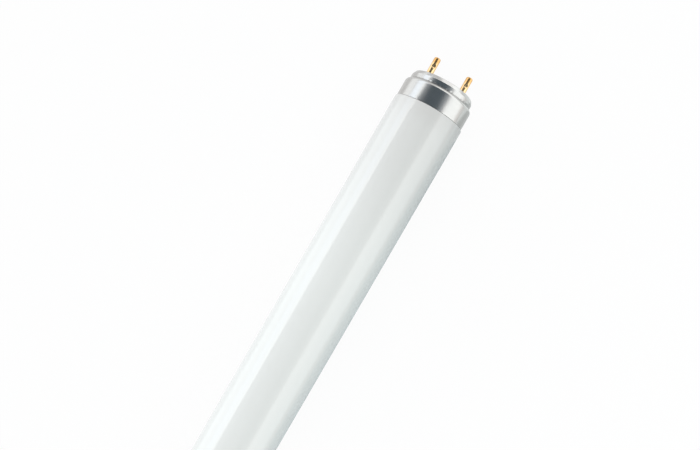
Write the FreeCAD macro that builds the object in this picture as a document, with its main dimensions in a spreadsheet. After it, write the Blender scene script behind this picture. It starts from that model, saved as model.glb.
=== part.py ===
import FreeCAD, Part
import math
import os

import Sketcher

# A straight fluorescent tube, 26 mm class, with a two-pin cap on each end.
# The tube lies along X, the two pins of each cap lie along Y, and the origin is the middle of the tube.
# Each cap is drawn in a frame of its own: x = 0 is the cap's face, +x points out along the pins.

# Driving dimensions, in millimetres.
DIMENSIONS = {
    # whole lamp
    "face_length": 589.2,  # from the face of one cap to the face of the other
    "glass_diameter": 25.4,
    # drawn aluminium cap
    "shell_wall": 0.3,
    "skirt_inset": 0.4,  # the skirt stands in from the glass by this
    "skirt_length": 7.3,  # from the crease down to the open edge
    "slope_length": 1.0,  # the skirt's top slopes in to the crease over this
    "slope_round": 1.2,
    "step_width": 1.03,  # from the skirt in to the collar
    "bevel_length": 1.25,  # the collar leans in to its rim over this
    "bevel_drop": 0.6,
    "bevel_round": 0.3,
    "collar_corner": 0.35,
    "roll_depth": 0.17,  # the collar is rolled in under the disc to hold it
    "roll_length": 0.35,
    "crease_round": 0.12,
    "lip_width": 2.2,  # rim left on the face, over the edge of the disc
    "lip_edge": 0.1,
    # insulating disc
    "disc_thickness": 2.0,
    "disc_clearance": 0.05,
    # hollow brass pin
    "pin_spacing": 12.7,
    "pin_diameter": 2.35,
    "pin_length": 7.4,  # out from the face
    "pin_bore": 0.95,
    "pin_tip_round": 0.6,
    "flange_diameter": 3.5,
    "flange_height": 0.3,
    "flange_round": 0.2,
    "shank_diameter": 2.0,  # where the pin goes through the disc
    "rivet_diameter": 3.3,
    "rivet_height": 0.4,
    "crimp_position": 4.2,  # out from the face
    "crimp_radius": 1.2,
    "crimp_depth": 0.24,
    # sealed glass inside the cap
    "shoulder_length": 0.2,  # where the glass starts to turn in, below the skirt's edge
    "shoulder_round": 0.4,
    "neck_round": 0.4,
    "neck_length": 4.7,  # how far the glass reaches into the skirt
    "rim_width": 1.5,
    "rim_round": 0.6,
    "flare_depth": 9.0,
    "flare_round": 5.0,
    "stem_depth": 16.0,
    "stem_bore": 7.6,
    "exhaust_diameter": 3.4,
    "exhaust_round": 1.3,
    "exhaust_inset": 1.5,  # the sealed-off tip ends this far below the glass rim
    # basing cement
    "cement_thickness": 0.35,
    "cement_setback": 0.5,  # in from the skirt's edge
    # lead wire
    "lead_diameter": 0.6,
    "lead_spacing": 5.5,  # between the two wires where they leave the stem
    "lead_bend": 1.6,
    "lead_straight": 0.9,  # straight run below the rivet
    "lead_slope": 4.6,
    "bead_length": 0.9,
    "bead_recess": 0.1,  # the weld bead ends this far inside the pin's mouth
    "bead_round": 0.3,
}

LAMP_ENDS = {"right": 1, "left": -1}
PIN_SIDES = {"1": 1, "2": -1}
FULL_TURN = 360
HALF_TURN = 180
# A corner's round is never more than this share of the short edge beside it.
ROUND_LIMIT = 0.42


class Formula:
    """Arithmetic on spreadsheet cells: each operator writes the text of the expression."""

    def __init__(self, text):
        self.text = str(text)

    def __str__(self):
        return self.text

    def __add__(self, other):
        return Formula(f"({self} + {other})")

    def __radd__(self, other):
        return Formula(f"({other} + {self})")

    def __sub__(self, other):
        return Formula(f"({self} - {other})")

    def __rsub__(self, other):
        return Formula(f"({other} - {self})")

    def __mul__(self, other):
        return Formula(f"({self} * {other})")

    def __rmul__(self, other):
        return Formula(f"({other} * {self})")

    def __truediv__(self, other):
        return Formula(f"({self} / {other})")

    def __neg__(self):
        return Formula(f"(0 - {self})")


def smaller(first, second):
    return Formula(f"min({first}; {second})")


def larger(first, second):
    return Formula(f"max({first}; {second})")


def root(value):
    return Formula(f"sqrt({value})")


class Sizes:
    """The driving dimensions as formulas, one attribute for each cell of the sheet."""

    def __init__(self, doc):
        sheet = doc.addObject("Spreadsheet::Sheet", "Dims")
        for row, (name, value) in enumerate(DIMENSIONS.items(), start=1):
            sheet.set(f"A{row}", name)
            sheet.set(f"B{row}", str(value))
            sheet.setAlias(f"B{row}", name)
            setattr(self, name, Formula(f"Dims.{name}"))
        doc.recompute()


doc = FreeCAD.newDocument("fluorescent_tube")
size = Sizes(doc)

# Radii, from the glass inwards.
glass_radius = size.glass_diameter / 2
skirt_radius = glass_radius - size.skirt_inset
skirt_inside = skirt_radius - size.shell_wall
neck_radius = skirt_inside - size.cement_thickness
collar_radius = skirt_radius - size.step_width
collar_inside = collar_radius - size.shell_wall
rim_radius = collar_radius - size.bevel_drop
rim_inside = rim_radius - size.shell_wall
lip_radius = collar_radius - size.lip_width
pin_radius = size.pin_diameter / 2
shank_radius = size.shank_diameter / 2
bore_radius = size.pin_bore / 2

# Places along the cap's own axis, all measured from its face.
disc_top = -size.shell_wall
disc_bottom = disc_top - size.disc_thickness
crease = disc_bottom - size.roll_length
skirt_edge = crease - size.skirt_length
glass_rim = skirt_edge + size.neck_length
stem_bottom = glass_rim - size.stem_depth
rivet_bottom = disc_bottom - size.rivet_height

# Rounds that the walls beside them limit.
slope_drop = size.step_width + size.roll_depth
slope_run = root(slope_drop * slope_drop + size.slope_length * size.slope_length)
slope_round_limit = 2 * ROUND_LIMIT * slope_run * slope_drop / (slope_run - size.slope_length)
slope_round = smaller(size.slope_round, slope_round_limit)
slope_round_inside = larger(slope_round - size.shell_wall, size.lip_edge / 2)
collar_corner = smaller(size.collar_corner, size.bevel_length * ROUND_LIMIT)
collar_corner_inside = larger(collar_corner - size.shell_wall, size.lip_edge)
crease_round = smaller(size.crease_round, size.roll_length / 4)
lip_edge = smaller(size.lip_edge, size.shell_wall * ROUND_LIMIT)
rim_round = smaller(size.rim_round, size.rim_width * ROUND_LIMIT)
pin_tip_round = smaller(size.pin_tip_round, pin_radius - bore_radius - size.lip_edge / 2)


def new_body(label, end, across=0):
    """An empty body on one end of the lamp, moved across to one pin's axis where that is asked for."""
    body = doc.addObject("PartDesign::Body", label)
    body.Label = label
    turn_end = FreeCAD.Rotation(FreeCAD.Vector(0, 0, 1), 0 if end > 0 else HALF_TURN)
    turn_pin = FreeCAD.Rotation(FreeCAD.Vector(1, 0, 0), HALF_TURN if across < 0 else 0)
    body.Placement.Rotation = turn_end.multiply(turn_pin)
    body.setExpression("Placement.Base.x", str(size.face_length * end / 2))
    if across:
        body.setExpression("Placement.Base.y", str(size.pin_spacing * end * across / 2))
    return body


def origin_plane(body, role):
    return next(plane for plane in body.Origin.OriginFeatures if plane.Role == role)


def new_sketch(body, name, role):
    sketch = body.newObject("Sketcher::SketchObject", name)
    sketch.AttachmentSupport = [(origin_plane(body, role), "")]
    sketch.MapMode = "FlatFace"
    return sketch


def bind(sketch, kind, elements, formula):
    """One driving constraint whose value is the formula."""
    value = float(sketch.evalExpression(str(formula)))
    index = sketch.addConstraint(Sketcher.Constraint(kind, *elements, value))
    sketch.setExpression(f"Constraints[{index}]", str(formula))


def place_point(sketch, geometry, end, x, y):
    """Dimension one point from the sketch's origin. A plain 0 puts it on the axis."""
    sketch_origin = (-1, 1)
    for value, kind, axis in ((x, "DistanceX", -2), (y, "DistanceY", -1)):
        if isinstance(value, Formula):
            bind(sketch, kind, (*sketch_origin, geometry, end), value)
        else:
            sketch.addConstraint(Sketcher.Constraint("PointOnObject", geometry, end, axis))


def draw_outline(sketch, corners, closed=True):
    """Straight runs from corner to corner, each corner (x, y) or (x, y, round), fully dimensioned.

    A rounded corner is an arc tangent to both runs. The dimensions go to the corner itself, kept as a
    construction point where the two runs would meet.
    """
    spots = [FreeCAD.Vector(*(float(sketch.evalExpression(str(v))) for v in c[:2])) for c in corners]
    rounds = [float(sketch.evalExpression(str(c[2]))) if len(c) > 2 else 0.0 for c in corners]
    count = len(corners)
    runs = count if closed else count - 1
    starts = list(spots)
    ends = list(spots)
    centres = list(spots)
    for i in range(count):
        if rounds[i]:
            back = (spots[i - 1] - spots[i]).normalize()
            ahead = (spots[(i + 1) % count] - spots[i]).normalize()
            half = back.getAngle(ahead) / 2
            ends[i] = spots[i] + back * (rounds[i] / math.tan(half))
            starts[i] = spots[i] + ahead * (rounds[i] / math.tan(half))
            centres[i] = spots[i] + (back + ahead).normalize() * (rounds[i] / math.sin(half))
    lines = []
    for i in range(runs):
        lines.append(sketch.addGeometry(Part.LineSegment(starts[i], ends[(i + 1) % count]), False))
    for i, corner in enumerate(corners):
        before = lines[i - 1] if closed or i > 0 else None
        after = lines[i] if i < runs else None
        if rounds[i]:
            turn = (spots[i] - spots[i - 1]).cross(spots[(i + 1) % count] - spots[i]).z
            first, last = (ends[i], starts[i]) if turn > 0 else (starts[i], ends[i])
            angles = [math.atan2(p.y - centres[i].y, p.x - centres[i].x) for p in (first, last)]
            circle = Part.Circle(centres[i], FreeCAD.Vector(0, 0, 1), rounds[i])
            arc = sketch.addGeometry(Part.ArcOfCircle(circle, *angles), False)
            at_before, at_after = (1, 2) if turn > 0 else (2, 1)
            sketch.addConstraint(Sketcher.Constraint("Tangent", before, 2, arc, at_before))
            sketch.addConstraint(Sketcher.Constraint("Tangent", arc, at_after, after, 1))
            point = sketch.addGeometry(Part.Point(spots[i]), True)
            sketch.addConstraint(Sketcher.Constraint("PointOnObject", point, 1, before))
            sketch.addConstraint(Sketcher.Constraint("PointOnObject", point, 1, after))
            place_point(sketch, point, 1, *corner[:2])
            bind(sketch, "Radius", (arc,), corner[2])
        elif after is None:
            place_point(sketch, before, 2, *corner[:2])
        else:
            if before is not None:
                sketch.addConstraint(Sketcher.Constraint("Coincident", before, 2, after, 1))
            place_point(sketch, after, 1, *corner[:2])
    return sketch


def draw_circle(sketch, x, y, radius):
    centre = FreeCAD.Vector(*(float(sketch.evalExpression(str(v))) for v in (x, y)))
    circle = Part.Circle(centre, FreeCAD.Vector(0, 0, 1), float(sketch.evalExpression(str(radius))))
    geometry = sketch.addGeometry(circle, False)
    place_point(sketch, geometry, 3, x, y)
    bind(sketch, "Radius", (geometry,), radius)


def revolve(body, name, corners):
    """Turn an outline of (x, radius) corners about the body's X axis."""
    sketch = draw_outline(new_sketch(body, f"{name}_outline", "XY_Plane"), corners)
    feature = body.newObject("PartDesign::Revolution", name)
    feature.Profile = sketch
    feature.ReferenceAxis = (sketch, ["H_Axis"])
    feature.Angle = FULL_TURN
    return feature


def cut_through(body, name, role, circles):
    """Pocket round holes right through, both ways from an origin plane."""
    sketch = new_sketch(body, f"{name}_outline", role)
    for circle in circles:
        draw_circle(sketch, *circle)
    doc.recompute()
    whole = body.Shape.Volume
    pocket = body.newObject("PartDesign::Pocket", name)
    pocket.Profile = sketch
    pocket.Type = "ThroughAll"
    pocket.SideType = "Symmetric"
    doc.recompute()
    if body.Shape.Volume >= whole:
        raise RuntimeError(f"{name} cut nothing")


def make_glass_tube():
    """The sealed, coated glass: a solid of revolution that is necked at each end to go into the cap.

    Inside the cap the end is drawn in as a flare down to the stem, with the sealed exhaust tip in it.
    """
    body = doc.addObject("PartDesign::Body", "glass_tube")
    body.Label = "glass_tube"
    face = size.face_length / 2
    half = revolve(
        body,
        "blown_half",
        [
            (0, 0),
            (0, glass_radius),
            (face + skirt_edge - size.shoulder_length, glass_radius, size.shoulder_round),
            (face + skirt_edge, neck_radius, size.neck_round),
            (face + glass_rim, neck_radius, rim_round),
            (face + glass_rim, neck_radius - size.rim_width, rim_round),
            (face + glass_rim - size.flare_depth, size.stem_bore / 2, size.flare_round),
            (face + stem_bottom, size.stem_bore / 2),
            (face + stem_bottom, size.exhaust_diameter / 2),
            (face + glass_rim - size.exhaust_inset, size.exhaust_diameter / 2, size.exhaust_round),
            (face + glass_rim - size.exhaust_inset, 0),
        ],
    )
    doc.recompute()
    both = body.newObject("PartDesign::Mirrored", "both_halves")
    both.Originals = [half]
    both.MirrorPlane = (origin_plane(body, "YZ_Plane"), [""])
    body.Tip = both
    return body


def make_end_cap(name, end):
    """The drawn aluminium shell: skirt, rounded slope, collar rolled in under the disc, bevel and rim."""
    body = new_body(f"end_cap_{name}", end)
    outside = [
        (0, lip_radius, lip_edge),
        (0, rim_radius, collar_corner),
        (-size.bevel_length, collar_radius, size.bevel_round),
        (disc_bottom, collar_radius),
        (crease, collar_radius - size.roll_depth, crease_round),
        (crease - size.slope_length, skirt_radius, slope_round),
        (skirt_edge, skirt_radius),
    ]
    inside = [
        (skirt_edge, skirt_inside),
        (crease - size.slope_length - size.shell_wall / 2, skirt_inside, slope_round_inside),
        (crease, collar_inside - size.roll_depth),
        (disc_bottom, collar_inside),
        (-size.bevel_length, collar_inside),
        (disc_top, rim_inside, collar_corner_inside),
        (disc_top, lip_radius),
    ]
    revolve(body, "drawn_shell", outside + inside)
    return body


def make_insulator(name, end):
    """The disc that carries the pins. It is bevelled like the collar and seats under the rim."""
    body = new_body(f"insulator_{name}", end)
    radius = collar_inside - size.disc_clearance
    corner = collar_corner_inside + size.disc_clearance
    edge = (disc_top, rim_inside - size.disc_clearance, corner)
    side = [(disc_bottom, radius), (-size.bevel_length, radius), edge]
    revolve(body, "disc", [(disc_bottom, 0), *side, (disc_top, 0)])
    half = size.pin_spacing / 2
    cut_through(body, "pin_holes", "YZ_Plane", [(half, 0, shank_radius), (-half, 0, shank_radius)])
    return body


def make_pin(name, end, side, across):
    """A hollow brass pin: flanged on the disc, riveted behind it, and dented on to its wire."""
    body = new_body(f"contact_pin_{name}_{side}", end, across)
    flange_top = disc_top + size.flange_height
    revolve(
        body,
        "turned_pin",
        [
            (rivet_bottom, bore_radius),
            (rivet_bottom, size.rivet_diameter / 2),
            (disc_bottom, size.rivet_diameter / 2),
            (disc_bottom, shank_radius),
            (disc_top, shank_radius),
            (disc_top, size.flange_diameter / 2),
            (flange_top, size.flange_diameter / 2),
            (flange_top, pin_radius, size.flange_round),
            (size.pin_length, pin_radius, pin_tip_round),
            (size.pin_length, bore_radius),
        ],
    )
    away = pin_radius + size.crimp_radius - size.crimp_depth
    dents = [(size.crimp_position, sign * away, size.crimp_radius) for sign in (1, -1)]
    cut_through(body, "crimp", "XZ_Plane", dents)
    return body


def make_lead_wire(name, end, side, across):
    """The wire from the glass stem up into the pin, where a weld bead closes the pin's mouth."""
    body = new_body(f"lead_wire_{name}_{side}", end, across)
    bead_top = size.pin_length - size.bead_recess
    inward = (size.lead_spacing - size.pin_spacing) / 2
    bend_out = rivet_bottom - size.lead_straight
    route = draw_outline(
        new_sketch(body, "route", "XY_Plane"),
        [
            (stem_bottom, inward),
            (bend_out - size.lead_slope, inward, size.lead_bend),
            (bend_out, 0, size.lead_bend),
            (bead_top - size.bead_length / 2, 0),
        ],
        closed=False,
    )
    section = new_sketch(body, "section", "YZ_Plane")
    section.setExpression("AttachmentOffset.Base.z", str(stem_bottom))
    draw_circle(section, inward, 0, size.lead_diameter / 2)
    doc.recompute()
    wire = body.newObject("PartDesign::AdditivePipe", "wire")
    wire.Profile = section
    wire.Spine = (route, [])
    doc.recompute()
    bead_bottom = bead_top - size.bead_length
    bead_round = smaller(size.bead_round, bore_radius * (1 - ROUND_LIMIT / 2))
    edge = (bead_top, bore_radius, bead_round)
    revolve(body, "bead", [(bead_bottom, 0), (bead_bottom, bore_radius), edge, (bead_top, 0)])
    return body


def make_cement(name, end):
    """The ring of cement that holds the cap's skirt on the neck of the glass."""
    body = new_body(f"cement_{name}", end)
    low = skirt_edge + size.cement_setback
    high = glass_rim - rim_round
    section = [(low, neck_radius), (low, skirt_inside), (high, skirt_inside), (high, neck_radius)]
    revolve(body, "ring", section)
    return body


pieces = [make_glass_tube()]
for end_name, end_sign in LAMP_ENDS.items():
    pieces.append(make_end_cap(end_name, end_sign))
    pieces.append(make_insulator(end_name, end_sign))
    pieces.append(make_cement(end_name, end_sign))
    for side_name, side_sign in PIN_SIDES.items():
        pieces.append(make_pin(end_name, end_sign, side_name, side_sign))
        pieces.append(make_lead_wire(end_name, end_sign, side_name, side_sign))

doc.recompute()

for item in doc.Objects:
    if {"Invalid", "Error"} & set(item.State):
        raise RuntimeError(f"{item.Label} failed: {item.State}")
for piece in pieces:
    if piece.Shape.isNull() or not piece.Shape.isValid() or len(piece.Shape.Solids) != 1:
        raise RuntimeError(f"{piece.Label} is not one valid solid")

os.makedirs("parts", exist_ok=True)
for piece in pieces:
    piece.Shape.exportStep(f"parts/{piece.Label}.step")
    box = piece.Shape.BoundBox
    print(f"{piece.Label}: {box.XLength:.2f} x {box.YLength:.2f} x {box.ZLength:.2f} mm")
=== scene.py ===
# %% [markdown]
# A straight fluorescent tube lies on a white table: sealed white glass, a drawn aluminium cap on each
# end, and two hollow brass pins in each cap. The CAD model is loaded first as a fixed frame, in metres,
# with the tube along X, the pins side by side along Y, and Z up. Everything made below is put where the
# CAD model has it.

# %% Load the CAD frame
import math

import bpy
import numpy as np
from mathutils import Matrix, Vector


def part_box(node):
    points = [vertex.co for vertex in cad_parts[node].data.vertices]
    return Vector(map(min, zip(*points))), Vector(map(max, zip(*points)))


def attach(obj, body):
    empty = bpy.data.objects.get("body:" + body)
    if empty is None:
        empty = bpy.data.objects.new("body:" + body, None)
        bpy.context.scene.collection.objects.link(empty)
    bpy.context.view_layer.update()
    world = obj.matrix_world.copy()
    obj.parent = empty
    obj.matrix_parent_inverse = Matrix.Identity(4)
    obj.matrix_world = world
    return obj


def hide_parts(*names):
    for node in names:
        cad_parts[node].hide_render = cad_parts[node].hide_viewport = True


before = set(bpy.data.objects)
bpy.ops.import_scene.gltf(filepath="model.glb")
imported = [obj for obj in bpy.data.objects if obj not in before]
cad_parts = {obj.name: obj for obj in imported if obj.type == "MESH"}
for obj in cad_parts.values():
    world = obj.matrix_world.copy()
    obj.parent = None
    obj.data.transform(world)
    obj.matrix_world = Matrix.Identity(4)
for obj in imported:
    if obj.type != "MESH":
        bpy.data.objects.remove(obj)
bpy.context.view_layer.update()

# %% [markdown]
# The camera comes next, because the picture decides which details will be seen. It looks down on the
# tube from above its right end. Three things place it: where it stands, the point of the table that is
# in the middle of the picture, and which way is up in the picture. A camera looks along its own -Z and
# has its own Y as up, so those directions become the columns of its matrix.

# %% Camera
scene = bpy.context.scene
scene.view_settings.view_transform = "Standard"

stands_at = Vector((0.24708, 0.02546, 0.19654))
looks_at = Vector((0.23892, 0.00402, 0.0))
picture_up = Vector((0.8653, 0.4932, -0.0897))

camera = bpy.data.objects.new("camera", bpy.data.cameras.new("camera"))
camera.data.lens = 30.0
camera.data.sensor_width = 36.0
camera.data.clip_start = 0.01
ahead = (looks_at - stands_at).normalized()
rightwards = ahead.cross(picture_up).normalized()
upwards = rightwards.cross(ahead)
turned_to = Matrix((rightwards, upwards, -ahead)).transposed().to_4x4()
camera.matrix_world = Matrix.Translation(stands_at) @ turned_to
scene.collection.objects.link(camera)
scene.camera = camera
print("camera", round((looks_at - stands_at).length, 4), "m from the table point that it looks at")

# %% [markdown]
# Almost everything on this lamp was turned, drawn or blown round one axis, so each piece is a surface of
# two parameters: a step along its outline and an angle round its axis. The points of such a surface are a
# grid, and a grid becomes a mesh with index arithmetic alone. The order of a face's corners decides where
# its front is, so every outline below is followed clockwise, outer wall first, towards +X.

# %% From a grid of points to a mesh
SHARP = math.radians(40)


def skin(name, grid, around=False, along=False, tips=None):
    """Mesh of a grid of points (rows, columns, xyz): one face between each four neighbours.

    around joins the last column to the first, and along the last row to the first. tips is a pair of
    points that close the first and the last row, each as a fan of triangles.
    """
    rows, columns = grid.shape[:2]
    index = np.arange(rows * columns).reshape(rows, columns)
    if around:
        index = np.concatenate([index, index[:, :1]], axis=1)
    if along:
        index = np.concatenate([index, index[:1]], axis=0)
    corners = [index[:-1, :-1], index[:-1, 1:], index[1:, 1:], index[1:, :-1]]
    faces = np.stack(corners, axis=-1).reshape(-1, 4).tolist()
    points = grid.reshape(-1, 3)
    if tips is not None:
        first = np.full(index.shape[1] - 1, len(points))
        faces += np.stack([index[0, 1:], index[0, :-1], first], axis=-1).tolist()
        faces += np.stack([index[-1, :-1], index[-1, 1:], first + 1], axis=-1).tolist()
        points = np.concatenate([points, np.asarray(tips, float)])
    mesh = bpy.data.meshes.new(name)
    mesh.from_pydata(points.tolist(), [], faces)
    mesh.shade_smooth()
    mesh.set_sharp_from_angle(angle=SHARP)
    piece = bpy.data.objects.new(name, mesh)
    scene.collection.objects.link(piece)
    return piece


# %% [markdown]
# An outline is drawn like a sketch in CAD: straight runs between corners, and a corner may have a round.
# The arc that rounds a corner touches both runs, so it leaves each run at the distance round / tan(half
# the angle between them). Only the handful of corners is gone through one by one. The points of each arc
# come as one array.

# %% Outlines with round corners
MM = 0.001


def outline(corners, closed, steps=9):
    """Points (x, radius) in metres of straight runs with round corners, from corners in millimetres.

    A corner is (x, radius) or (x, radius, round). Its arc has its centre on the line that halves the
    corner's angle, at round / sin(half the angle), and swings between the two points of touch.
    """
    spots = np.array([corner[:2] for corner in corners], float)
    runs = []
    for i, corner in enumerate(corners):
        size = corner[2] if len(corner) > 2 else 0
        at_end = not closed and i in (0, len(corners) - 1)
        if at_end or not size:
            runs.append(spots[i:i + 1])
            continue
        back = spots[i - 1] - spots[i]
        on = spots[(i + 1) % len(spots)] - spots[i]
        back = back / np.linalg.norm(back)
        on = on / np.linalg.norm(on)
        half = math.acos(np.clip(back @ on, -1, 1)) / 2
        middle = (back + on) / np.linalg.norm(back + on)
        centre = spots[i] + middle * size / math.sin(half)
        side = (back - on) / np.linalg.norm(back - on)
        swing = np.linspace(math.pi / 2 - half, half - math.pi / 2, steps)[:, None]
        runs.append(centre - size * np.cos(swing) * middle + size * np.sin(swing) * side)
    return np.concatenate(runs) * MM


def turned(profile, sides):
    """Grid of a turned shape: row i, column j is (x_i, r_i cos a_j, r_i sin a_j), a_j round the X axis."""
    turn = np.linspace(0, 2 * math.pi, sides, endpoint=False)
    x, radius = profile[:, :1], profile[:, 1:]
    return np.stack([x + 0 * turn, radius * np.cos(turn), radius * np.sin(turn)], axis=-1)


def finish_piece(piece, slot, *nodes):
    """Let a new piece ride on the lamp in place of its CAD nodes. The slot is not used."""
    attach(piece, "root")
    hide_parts(*nodes)
    triangles = sum(len(face.vertices) - 2 for face in piece.data.polygons)
    low, high = np.array(piece.bound_box).min(0), np.array(piece.bound_box).max(0)
    print(piece.name, triangles, "triangles, size in mm", np.round((high - low) / MM, 2))


# %% [markdown]
# The sizes are read from the CAD boxes where a box tells them, so that a piece keeps to its node. The
# rest are the drawing's own numbers, in millimetres. Places along a cap are measured from its face, with
# minus going into the lamp.

# %% Sizes from the CAD frame
cap_low, cap_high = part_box("end_cap_right")
glass_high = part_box("glass_tube")[1]
pin_low, pin_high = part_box("contact_pin_right_1")

FACE = cap_high.x / MM
GLASS = glass_high.y / MM
SKIRT = cap_high.y / MM
SKIRT_EDGE = (cap_low.x - cap_high.x) / MM
PIN_TIP = (pin_high.x - cap_high.x) / MM
PIN_ACROSS = (pin_low.y + pin_high.y) / 2 / MM
WALL = 0.3
DISC_TOP = -WALL
DISC_BOTTOM = -2.3
print("cap face at", round(FACE, 3), "skirt edge", round(SKIRT_EDGE, 3), "pin tip", round(PIN_TIP, 3))

# %% [markdown]
# The glass is one sealed tube. Its ends are necked in to go under the caps, then folded back into a flare
# with the pinched-off exhaust tip in it, all hidden by the caps. It could be a cylinder primitive, but the
# necked shoulder is what draws the thin dark line under the skirt, so the true outline is turned instead.
# The straight part is cut into short rows so that its mesh is even.

# %% Glass
SHOULDER = 0.08
NECK = 11.65
RIM = SKIRT_EDGE + 4.7
RIM_WIDTH = 1.5
FLARE_DEPTH = 9
STEM = RIM - 16
STEM_BORE = 3.8
EXHAUST = 1.7
EXHAUST_TOP = RIM - 1.5
NEAR_AXIS = 0.05
glass_end = [
    (FACE + SKIRT_EDGE - SHOULDER, GLASS, 0.4),
    (FACE + SKIRT_EDGE, NECK, 0.4),
    (FACE + RIM, NECK, 0.6),
    (FACE + RIM, NECK - RIM_WIDTH, 0.6),
    (FACE + RIM - FLARE_DEPTH, STEM_BORE, 5),
    (FACE + STEM, STEM_BORE, 0.2),
    (FACE + STEM, EXHAUST, 0.2),
    (FACE + EXHAUST_TOP, EXHAUST, 1.3),
    (FACE + EXHAUST_TOP, NEAR_AXIS),
]
STRAIGHT_END = FACE + SKIRT_EDGE - 4
straight = [(x, GLASS) for x in np.linspace(0, STRAIGHT_END, 60)]
right_half = outline(straight + glass_end, closed=False, steps=13)
left_half = right_half[:0:-1] * (-1, 1)
glass_outline = np.concatenate([left_half, right_half])
tip = [glass_outline[-1, 0], 0, 0]
glass = skin("glass", turned(glass_outline, 180), around=True, tips=([-tip[0], 0, 0], tip))
finish_piece(glass, "coated_glass", "glass_tube")

# %% [markdown]
# Each cap is drawn from thin sheet: a skirt over the neck of the glass, a soft slope, a collar that is
# rolled in under the disc, a bevel that leans in, and a rim that folds over the disc. The outline is a
# closed loop, outside and inside wall, so that the sheet has its real thickness. The rolling wheel leaves
# a row of shallow marks in the crease, which breaks its highlight, so the wall dips there with a wave of
# the angle. A row of small cuts would do it too, but the wave keeps the mesh in one even grid.

# %% Caps
COLLAR = 11.27
CREASE = -2.65
CREASE_RADIUS = COLLAR - 0.17
BEVEL = -1.25
RIM_RADIUS = COLLAR - 0.6
LIP = COLLAR - 2.2
cap_loop = [
    (SKIRT_EDGE, SKIRT - WALL, 0.05),
    (SKIRT_EDGE, SKIRT, 0.1),
    (CREASE - 1.0, SKIRT, 1.2),
    (CREASE, CREASE_RADIUS, 0.0875),
    (DISC_BOTTOM, COLLAR, 0.3),
    (BEVEL, COLLAR, 0.3),
    (0, RIM_RADIUS, 0.35),
    (0, LIP, 0.1),
    (DISC_TOP, LIP, 0.05),
    (DISC_TOP, RIM_RADIUS - WALL, 0.1),
    (BEVEL, COLLAR - WALL, 0.1),
    (DISC_BOTTOM, COLLAR - WALL, 0.1),
    (CREASE, CREASE_RADIUS - WALL, 0.05),
    (CREASE - 1.15, SKIRT - WALL, 0.9),
]
ROLL_MARKS = 44
ROLL_DEPTH = 0.05
ROLL_REACH = 0.3
cap_outline = outline(cap_loop, closed=True) + (FACE * MM, 0)
cap_grid = turned(cap_outline, 352)
END_TURNS = {"right": np.array((1, 1, 1)), "left": np.array((-1, -1, 1))}


def roll_marks(grid):
    """Pull the crease in by a wave of the angle, faded out along X by exp(-(distance / reach)^2)."""
    x, y, z = np.moveaxis(grid, -1, 0)
    angle = np.arctan2(z, y)
    near = np.exp(-(((x / MM - FACE - CREASE) / ROLL_REACH) ** 2))
    wave = 0.5 + 0.5 * np.cos(ROLL_MARKS * angle + 0.8 * np.sin(3 * angle))
    pull = 1 - ROLL_DEPTH * MM * near * wave / np.hypot(y, z)
    return np.stack([x, y * pull, z * pull], axis=-1)


caps = {}
for end, turn in END_TURNS.items():
    caps[end] = skin(f"cap_{end}", roll_marks(cap_grid) * turn, around=True, along=True)
    finish_piece(caps[end], "cap_aluminium", f"end_cap_{end}")

# %% [markdown]
# A pin is a brass tube with a flange on the disc, a rivet head behind it, and a round tip. Near its middle
# a tool has dented it from both sides to grip the wire inside. The dent is the flank of a round bar pressed
# in across the pin, so it is a limit on the height |z|: points above the bar's circle come down to it.

# %% Pins
PIN = 1.175
BORE = 0.475
DENT_AT = 4.2
DENT_BAR = 1.2
DENT_DEPTH = 0.24
DENT_SOFT = 0.03
RIVET = 1.65
RIVET_BACK = DISC_BOTTOM - 0.4
SHANK = 1.0
FLANGE = 1.75
FLANGE_TOP = DISC_TOP + 0.3
pin_loop = [
    (RIVET_BACK, BORE, 0.05),
    (RIVET_BACK, RIVET, 0.15),
    (DISC_BOTTOM, RIVET),
    (DISC_BOTTOM, SHANK),
    (DISC_TOP, SHANK),
    (DISC_TOP, FLANGE),
    (FLANGE_TOP, FLANGE, 0.12),
    (FLANGE_TOP, PIN, 0.2),
    *[(x, PIN) for x in np.linspace(0.8, PIN_TIP - 1.0, 70)],
    (PIN_TIP, PIN, 0.6),
    (PIN_TIP, BORE, 0.08),
]


def dented(grid):
    """Lower |z| to the pressing bar, with a soft join.

    The limit is the height of the bar's centre - sqrt(bar radius^2 - (x - place)^2).
    """
    x, y, z = np.moveaxis(grid / MM, -1, 0)
    reach = np.clip(DENT_BAR ** 2 - (x - DENT_AT) ** 2, 0, None)
    limit = PIN + DENT_BAR - DENT_DEPTH - np.sqrt(reach)
    limit = np.where(reach > 0, limit, 2 * PIN)
    height = np.abs(z)
    over = height - limit
    lowered = height - 0.5 * (over + np.sqrt(over ** 2 + DENT_SOFT ** 2)) * (reach > 0)
    outer = np.hypot(y, z) > 0.5 * (PIN + BORE)
    z = np.where(outer, np.sign(z) * np.minimum(height, lowered), z)
    return np.stack([x, y, z], axis=-1) * MM


pin_outline = outline(pin_loop, closed=True, steps=7)
pin_grid = dented(turned(pin_outline, 72))
pins = []
for end, turn in END_TURNS.items():
    for number, side in (("1", 1), ("2", -1)):
        place = np.array((FACE, side * PIN_ACROSS, 0)) * MM
        pin = skin(f"pin_{end}_{number}", (pin_grid + place) * turn, around=True, along=True)
        finish_piece(pin, "pin_brass", f"contact_pin_{end}_{number}")
        pins.append(pin)

# %% [markdown]
# Materials are node trees, and most of their nodes only do arithmetic. Wrapping a socket in a small class
# lets that arithmetic be written as Python: each operator adds one Math node. All other nodes come from
# one method, which sets a node's options first and then fills or links its sockets.

# %% Node trees as expressions


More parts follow.
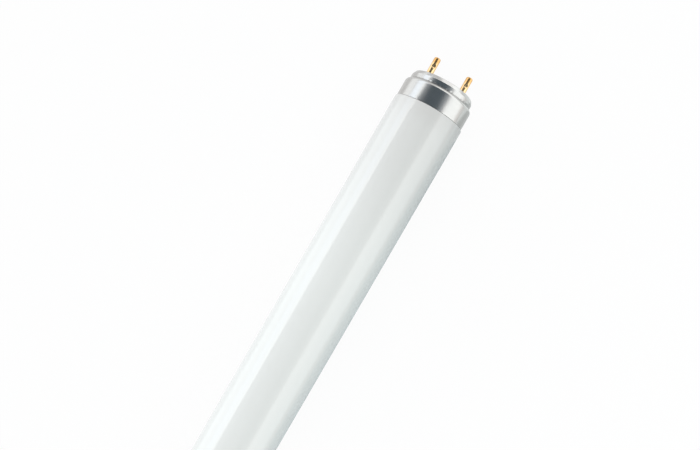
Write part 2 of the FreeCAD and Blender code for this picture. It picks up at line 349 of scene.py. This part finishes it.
class Signal:
    """One output socket. Arithmetic on it, also with a plain number in front, adds Math nodes."""

    def __init__(self, nodes, socket):
        self.nodes = nodes
        self.socket = socket

    def maths(self, operation, first, second=0.0, clamp=False):
        settings = {"operation": operation, "use_clamp": clamp}
        return self.nodes.add("Math", settings, {0: first, 1: second})

    def __add__(self, other):
        return self.maths("ADD", self, other)

    def __sub__(self, other):
        return self.maths("SUBTRACT", self, other)

    def __rsub__(self, other):
        return self.maths("SUBTRACT", other, self)

    def __mul__(self, other):
        return self.maths("MULTIPLY", self, other)

    def __pow__(self, other):
        return self.maths("POWER", self, other)

    def __abs__(self):
        return self.maths("ABSOLUTE", self)

    def clamped(self):
        return self.maths("ADD", self, 0.0, clamp=True)

    def at_least(self, low):
        return self.maths("MAXIMUM", self, low)

    __radd__ = __add__
    __rmul__ = __mul__


class Nodes:
    """The node tree of one material or of the world, emptied to start with."""

    def __init__(self, owner):
        owner.use_nodes = True
        self.tree = owner.node_tree
        self.tree.nodes.clear()

    def add(self, kind, settings=None, sockets=None, out=0):
        """Add a node: settings first, then each socket's value or link. Gives the chosen output."""
        node = self.tree.nodes.new(f"ShaderNode{kind}")
        for key, value in (settings or {}).items():
            setattr(node, key, value)
        for key, value in (sockets or {}).items():
            if isinstance(value, Signal):
                self.tree.links.new(value.socket, node.inputs[key])
            else:
                node.inputs[key].default_value = value
        return Signal(self, node.outputs[out]) if node.outputs else None

    def place(self, split=""):
        """Object coordinates in metres. With split, a list of them and of the parts named in it."""
        whole = self.add("TexCoord", out="Object")
        if not split:
            return whole
        return [whole] + [self.add("SeparateXYZ", None, {0: whole}, out) for out in split]

    def vector(self, x, y, z):
        return self.add("CombineXYZ", None, {0: x, 1: y, 2: z})

    def noise(self, vector, scale, detail=3.0, roughness=0.55):
        sockets = {"Vector": vector, "Scale": scale, "Detail": detail, "Roughness": roughness}
        return self.add("TexNoise", None, sockets)

    def between(self, value, low, high):
        """0 below low, 1 above high, and a smooth step between them."""
        sockets = {"Value": value, "From Min": low, "From Max": high}
        return self.add("MapRange", {"interpolation_type": "SMOOTHSTEP"}, sockets)

    def mixed(self, share, first, second):
        """Colour mix: first where share is 0, second where it is 1."""
        return self.add("Mix", {"data_type": "RGBA"}, {0: share, 6: first, 7: second}, out=2)

    def bump(self, height, distance, strength=1.0):
        return self.add("Bump", None, {"Height": height, "Distance": distance, "Strength": strength})

    def surface(self, sockets):
        """A Principled shader with these sockets, linked to the output."""
        shader = self.add("BsdfPrincipled", None, sockets)
        self.add("OutputMaterial", None, {"Surface": shader})


def new_finish(name):
    material = bpy.data.materials.new(name)
    return material, Nodes(material)


# %% [markdown]
# The white of the tube is a powder on the inside of clear glass. Seen from outside that is a matt white
# ground under a clear gloss surface, and the Principled shader gives both at once: Base Color is the
# powder, and a low Roughness the glass. The IOR is higher than that of real glass, because one surface
# stands for both faces of the clear wall, which each mirror the lights. The powder is slightly cloudy.
# Towards the caps its colour is painted darker as shade, where less light reaches the ends of the glass.
# It is darkest along the skirt, partly thinner powder at the very end and partly painted shade under the
# cap's edge. Tube glass is drawn out hot, which leaves faint lines along it.

# %% Coated glass
coated_glass, n = new_finish("coated_glass")
place, x, y, z = n.place("XYZ")
cloud = n.noise(place, 90.0, 4.0)
grain = n.noise(place, 2600.0, 2.0)
end_gap = (FACE + SKIRT_EDGE) * MM - abs(x)
# Painted shade: the powder's colour turns darker towards each cap, where less light reaches the ends.
painted_end_shade = 1 - n.between(end_gap, -0.012, 0.065)
# Darkest along the skirt's edge: partly thinner powder, partly painted shade under the cap.
thin_edge_and_skirt_shade = 1 - n.between(end_gap, 0.0, 0.008)
shade = (0.12 * cloud + 0.06 * grain + 0.62 * painted_end_shade + 0.2 * thin_edge_and_skirt_shade).clamped()
powder = n.mixed(shade, (0.825, 0.84, 0.812, 1), (0.645, 0.637, 0.615, 1))
draw_lines = n.noise(n.vector(x * 2.0, y * 420.0, z * 420.0), 1.0, 2.0)
n.surface({
    "Base Color": powder,
    "Roughness": 0.025 + 0.03 * cloud,
    "IOR": 1.8,
    "Normal": n.bump(draw_lines, 0.00001, 0.1),
})
glass.data.materials.append(coated_glass)
print("coated glass:", len(n.tree.nodes), "nodes")

# %% [markdown]
# Drawn aluminium is bright, with fine lines round the cap from the drawing ring and the rolling wheel.
# The lines depend on the place along the outline, which is x on the walls and the radius on the face, so
# a noise that runs fast along both and hardly round the axis gives them. Handling leaves duller patches.

# %% Aluminium
cap_aluminium, n = new_finish("cap_aluminium")
place, x, y, z = n.place("XYZ")
radius = (y * y + z * z) ** 0.5
lines = n.noise(n.vector(x * 6000.0, radius * 6000.0, y * 40.0), 1.0, 3.0, 0.6)
fine = n.noise(n.vector(x * 26000.0, radius * 26000.0, z * 90.0), 1.0, 2.0)
patches = n.noise(place, 170.0, 3.0)
uneven = (0.6 * lines + 0.5 * patches - 0.1).clamped()
metal = n.mixed(uneven, (0.535, 0.527, 0.513, 1), (0.43, 0.425, 0.415, 1))
waves = n.noise(place, 260.0, 2.0)
n.surface({
    "Base Color": metal,
    "Metallic": 1.0,
    "Roughness": 0.13 + 0.12 * patches + 0.08 * lines,
    "Normal": n.bump(0.7 * lines + 0.3 * fine + 6 * waves, 0.00002, 0.25),
})
for cap in caps.values():
    cap.data.materials.append(cap_aluminium)
print("aluminium:", len(n.tree.nodes), "nodes")

# %% [markdown]
# The pins are plain brass, brighter along the middle and darker at the foot and in the outer half, with
# stains in between. The darkening at the foot is painted shade, where the pin rises from the cap. Both are
# steps along the pin, so one smooth step each is enough, and a noise breaks them up. Turning leaves fine
# rings round the pins, which a noise that runs fast along X gives.

# %% Brass
pin_brass, n = new_finish("pin_brass")
place, x, y, z = n.place("XYZ")
up_pin = abs(x) - FACE * MM
rings = n.noise(n.vector(x * 9000.0, y * 60.0, z * 60.0), 1.0, 3.0)
stain = n.noise(place, 900.0, 4.0, 0.6)
# Painted shade: darker where the pin rises from the cap's face.
foot_shade = 1 - n.between(up_pin, 0.0002, 0.0016)
outer = n.between(up_pin, 0.0042, 0.0062)
dark = (0.25 * foot_shade + 0.5 * outer + 0.7 * stain - 0.25).clamped()
brass = n.mixed(dark, (0.83, 0.59, 0.32, 1), (0.57, 0.26, 0.04, 1))
n.surface({
    "Base Color": brass,
    "Metallic": 1.0,
    "Roughness": 0.16 + 0.12 * stain + 0.06 * dark,
    "Normal": n.bump(rings, 0.00002, 0.25),
})
for pin in pins:
    pin.data.materials.append(pin_brass)
print("brass:", len(n.tree.nodes), "nodes")

# %% [markdown]
# Three kinds of CAD pieces keep their shape and only get a finish: the disc of pressed board in each cap,
# the cement between cap and glass, and the wires with the weld bead that closes each pin. Board shows
# short fibres in two directions, cement is a coarse grain, and the wire is dull where the weld burnt it.

# %% Board, cement and wire
disc_board, n = new_finish("disc_board")
place, x, y, z = n.place("XYZ")
fibre_y = n.noise(n.vector(x * 900.0, y * 350.0, z * 3200.0), 1.0, 3.0)
fibre_z = n.noise(n.vector(x * 900.0, y * 3200.0, z * 350.0), 1.0, 3.0)
fibre = 0.5 * fibre_y + 0.5 * fibre_z
speck = n.between(n.noise(place, 2400.0, 2.0), 0.60, 0.72)
board = n.mixed((2.2 * fibre - 0.6).clamped(), (0.12, 0.07, 0.045, 1), (0.30, 0.19, 0.12, 1))
n.surface({
    "Base Color": n.mixed(0.35 * speck, board, (0.45, 0.33, 0.22, 1)),
    "Roughness": 0.42 + 0.3 * fibre,
    "Normal": n.bump(fibre, 0.00005, 0.4),
})

baked_cement, n = new_finish("baked_cement")
place = n.place()
sand = n.noise(place, 1500.0, 5.0, 0.7)
n.surface({
    "Base Color": n.mixed(sand, (0.45, 0.39, 0.30, 1), (0.72, 0.67, 0.57, 1)),
    "Roughness": 0.75 + 0.2 * sand,
    "Normal": n.bump(sand, 0.0001, 0.6),
})

lead_nickel, n = new_finish("lead_nickel")
place, x = n.place("X")
skin_noise = n.noise(place, 2200.0, 4.0, 0.6)
burnt = n.between(abs(x), FACE * MM + 0.006, FACE * MM + 0.0072)
n.surface({
    "Base Color": n.mixed(0.5 * burnt + 0.4 * skin_noise, (0.70, 0.69, 0.66, 1), (0.36, 0.32, 0.27, 1)),
    "Metallic": 1.0,
    "Roughness": 0.22 + 0.25 * skin_noise + 0.1 * burnt,
    "Normal": n.bump(skin_noise, 0.00004, 0.3),
})

CAD_FINISHES = {"insulator": disc_board, "cement": baked_cement, "lead_wire": lead_nickel}
for name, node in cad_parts.items():
    for start, finish in CAD_FINISHES.items():
        if name.startswith(start):
            node.data.materials.clear()
            node.data.materials.append(finish)
print("finishes on CAD pieces:", ", ".join(CAD_FINISHES))

# %% [markdown]
# The table is a large white sheet that the glass lies on. A real white table is only white where enough
# light falls on it, so most of what the camera and the reflections see of it is given as a plain white,
# and the rest is a matt surface that still takes the soft shadow of the tube. The light path node tells
# those rays from the ones that carry light on to the lamp. The empty space beyond works the same way.

# %% Table and surroundings
TABLE_HALF = 4.0
SHOWN_WHITE = 0.92


def seen_directly(nodes):
    """1 for camera, mirror and see-through rays, 0 for the rays that gather light."""
    seen = [nodes.add("LightPath", out=f"Is {kind} Ray") for kind in ("Camera", "Glossy", "Transmission")]
    return (seen[0] + seen[1] + seen[2]).clamped()


def flat_sheet(name, x_range, y_range, height):
    """Grid of 2 by 2 points at one height: (x, y, height) over the two ranges.

    The front is on top if the second range goes up, and below if it goes down.
    """
    y_side, x_side = np.meshgrid(y_range, x_range)
    return skin(name, np.stack([x_side, y_side, 0 * x_side + height], axis=-1)[:, ::-1])


TABLE_TOP = -GLASS * MM
table = flat_sheet("table", (-TABLE_HALF, TABLE_HALF), (-TABLE_HALF, TABLE_HALF), TABLE_TOP)
table_white, n = new_finish("table_white")
place = n.place()
paper = n.mixed(n.noise(place, 300.0, 3.0), (0.88, 0.88, 0.88, 1), (0.92, 0.92, 0.92, 1))
matt = n.add("BsdfDiffuse", None, {"Color": paper})
white = n.add("Emission", None, {"Color": (1, 1, 1, 1), "Strength": 1.0})
both = n.add("MixShader", None, {0: SHOWN_WHITE * seen_directly(n), 1: matt, 2: white})
n.add("OutputMaterial", None, {"Surface": both})
table.data.materials.append(table_white)

AROUND = 0.14
FROM_LEFT = 0.54
FROM_ABOVE = 0.98
scene.world = bpy.data.worlds.new("surroundings")
n = Nodes(scene.world)
direction = n.add("TexCoord", out="Generated")
leftness, height = [n.add("SeparateXYZ", None, {0: direction}, out) for out in "YZ"]
gathered = (AROUND + FROM_LEFT * leftness + FROM_ABOVE * height).at_least(0.0)
seen = seen_directly(n)
level = gathered + (1 - gathered) * seen
white_space = n.add("Background", None, {"Color": (1, 1, 1, 1), "Strength": level})
n.add("OutputWorld", None, {"Surface": white_space})
print("table top at", round(TABLE_TOP / MM, 2), "mm")

# %% [markdown]
# Bright metal looks like what stands round it, so the light is a small studio: one long soft light low on
# the left of the picture, a wider one higher on the right, and a dark sheet overhead between them. The cap
# then shows white, dark and white again, and the glass two pale stripes. A light's place is given as an
# angle from straight up, seen along the tube, with its width as the angle that it fills.

# %% Lights
LIGHT_FROM = 0.5


def soft_light(name, middle, width, length, along_x, glow, colour):
    """A rectangle of light at an angle from straight up. Its power is glow x pi x area."""
    data = bpy.data.lights.new(name, "AREA")
    data.shape = "RECTANGLE"
    data.size = length
    data.size_y = 2 * LIGHT_FROM * math.tan(math.radians(width) / 2)
    data.energy = glow * math.pi * data.size * data.size_y
    data.color = colour
    lamp = bpy.data.objects.new(name, data)
    lean = math.radians(middle)
    outwards = Vector((0, math.sin(lean), math.cos(lean)))
    sideways = Vector((1, 0, 0))
    lamp.matrix_world = (
        Matrix.Translation(outwards * LIGHT_FROM + sideways * along_x)
        @ Matrix((sideways, outwards.cross(sideways), outwards)).transposed().to_4x4()
    )
    lamp.visible_camera = False
    scene.collection.objects.link(lamp)
    print(name, "power", round(data.energy, 2), "W")


LEFT_TINT = (0.78, 0.90, 1.04)
RIGHT_TINT = (0.85, 0.96, 1.0)
soft_light("left_light", middle=77.5, width=23.0, length=1.7, along_x=0.1, glow=1.04, colour=LEFT_TINT)
soft_light("right_light", middle=-53.0, width=48.0, length=2.2, along_x=0.2, glow=0.75, colour=RIGHT_TINT)

# %% [markdown]
# The dark sheet hangs over the tube and ends a little beyond the right cap. The straight walls of the cap
# mirror it, while the slope and the bevel lean far enough to mirror the bright space past the end, which
# draws the two pale lines across the cap. Its long sides turn lighter, which softens the dark band on the
# metal. A darker world would do for the band, but only a sheet has edges, and the edges are what shows. It
# is there for the reflections, so the camera looks through it and it throws no shadow.

# %% Dark sheet overhead
SHEET_HEIGHT = 0.55
SHEET_ENDS = (-1.1, 1.04)
SHEET_ANGLES = (61.5, -24.0)
SHEET_FADES = ((0.36, 0.80, 0.50), (-0.03, -0.25, 0.75))


def front_only(nodes, front):
    """Output of a shader on the front of a sheet, and nothing seen from behind it."""
    behind = nodes.add("NewGeometry", out="Backfacing")
    shown = nodes.add("MixShader", None, {0: behind, 1: front, 2: nodes.add("BsdfTransparent")})
    nodes.add("OutputMaterial", None, {"Surface": shown})


def studio_sheet(sheet, dark, pale, fades=()):
    """Mottled matt paper on the front of a sheet.

    Each of fades is (from, to, share): from one y to the other the paper turns that much lighter.
    """
    paint, n = new_finish(sheet.name)
    place, y = n.place("Y")
    colour = n.mixed(n.noise(place, 40.0), dark, pale)
    for start, stop, share in fades:
        towards = n.between(y * math.copysign(1, stop), abs(start), abs(stop))
        colour = n.mixed(share * towards, colour, (0.95, 0.97, 1.0, 1))
    front_only(n, n.add("BsdfDiffuse", None, {"Color": colour}))
    sheet.data.materials.append(paint)
    sheet.visible_camera = False
    sheet.visible_shadow = False


sheet_sides = [SHEET_HEIGHT * math.tan(math.radians(a)) for a in SHEET_ANGLES]
overhead = flat_sheet("dark_sheet", SHEET_ENDS, sheet_sides, SHEET_HEIGHT)
overhead.visible_diffuse = False
studio_sheet(overhead, (0.095, 0.125, 0.15, 1), (0.125, 0.157, 0.185, 1), SHEET_FADES)
print("dark sheet", SHEET_HEIGHT, "m high, between", [round(side, 3) for side in sheet_sides])

# %% [markdown]
# Two more sheets lie on the table to the right of the tube, each a hair above what is under it so that no
# two surfaces share a height. The grey one takes some light from that whole side. The small slate one
# darkens the light that the table throws back at the glass next to the cap. The glass would also mirror
# it as a dark streak, so mirror rays pass through it.

# %% Sheets on the table
TUBE_SIDE = -0.014
GREY_LIFT = 0.0003
SLATE_LIFT = 0.0004
beside = flat_sheet("grey_sheet", (-0.8, 1.0), (-0.40, TUBE_SIDE), TABLE_TOP + GREY_LIFT)
studio_sheet(beside, (0.60, 0.65, 0.66, 1), (0.66, 0.71, 0.72, 1))
near_cap = flat_sheet("slate_sheet", (0.255, 0.42), (-0.20, TUBE_SIDE), TABLE_TOP + SLATE_LIFT)
near_cap.visible_glossy = False
studio_sheet(near_cap, (0.14, 0.16, 0.17, 1), (0.19, 0.21, 0.22, 1))
print("on the table:", beside.name, "and", near_cap.name)

# %% [markdown]
# Bright boards finish the studio, as a photographer would place them: each is the pale stripe or patch
# that one part of the lamp mirrors. As lamps they would also flood the table and the glass with light, so
# these cards are emission that mirror rays alone can see. Most of them lie flat on the table or are strips
# at one distance from the tube's axis, so there is one small grid function for each of those.

# %% Glowing cards
CARD_HEIGHT = TABLE_TOP + 0.0005


def glowing_card(name, grid, strength, colour):
    """A bright card for mirror rays alone: it lights nothing and throws no shadow."""
    card = skin(name, grid)
    paint, n = new_finish(card.name)
    tint = n.mixed(n.noise(n.place(), 6.0), (*colour, 1), (1, 1, 1, 1))
    front_only(n, n.add("Emission", None, {"Color": tint, "Strength": strength}))
    card.data.materials.append(paint)
    card.visible_camera = False
    card.visible_diffuse = False
    card.visible_shadow = False
    print(name, "strength", strength)


def table_grid(x_ends, y_ends):
    """Grid of a card that lies on the table: (x, y, card height)."""
    return np.array([[(x, y, CARD_HEIGHT) for y in y_ends] for x in x_ends])


def strip_grid(radius, stations):
    """Grid of a strip along the tube: (x, radius sin a, radius cos a), a in degrees from straight up.

    A station is an x with the two angles between which the strip lies there.
    """
    return np.array([
        [(x, radius * math.sin(a), radius * math.cos(a)) for a in np.radians(angles)]
        for x, angles in stations
    ])


# %% [markdown]
# The left card and the edge card draw the pale stripes on the left of the glass and the cap. The skirt and
# collar cards lie on the table to the right and brighten that side of those two walls: the first next to
# the cap, the second from there outwards. The end card stands upright past the pins for the slope and the
# bevel, and the right card is the wide glow on the right. The edge card is wider past the cap, where the
# glass doesn't mirror it.

# %% Cards in their places
EDGE_OUTER = 67.5
EDGE_INNER = ((-1.05, 61.5), (0.366, 61.5), (0.37, 59.0), (0.65, 59.0))
RIGHT_ANGLES = (-29.0, -86.0)
CAP_CARD_SIDES = (-0.6, TUBE_SIDE)
left_grid = table_grid((0.37, -0.8), (0.04, 0.7))
edge_grid = strip_grid(0.48, [(x, (inner, EDGE_OUTER)) for x, inner in EDGE_INNER])
skirt_grid = table_grid((0.303, 0.284), CAP_CARD_SIDES)
collar_grid = table_grid((0.5, 0.303), CAP_CARD_SIDES)
end_grid = np.array([[(1.25, y, z) for z in (0.0, 0.9)] for y in (-0.6, 0.25)])
right_grid = strip_grid(0.66, [(x, RIGHT_ANGLES) for x in (1.55, -0.65)])
glowing_card("left_card", left_grid, 1.65, (0.94, 0.98, 1.0))
glowing_card("edge_card", edge_grid, 1.95, (0.96, 1.0, 1.0))
glowing_card("skirt_card", skirt_grid, 0.8, (0.9, 1.0, 1.0))
glowing_card("collar_card", collar_grid, 1.25, (0.9, 1.0, 1.0))
glowing_card("end_card", end_grid, 1.7, (1.0, 1.0, 1.0))
glowing_card("right_card", right_grid, 1.25, (1.0, 0.96, 0.92))
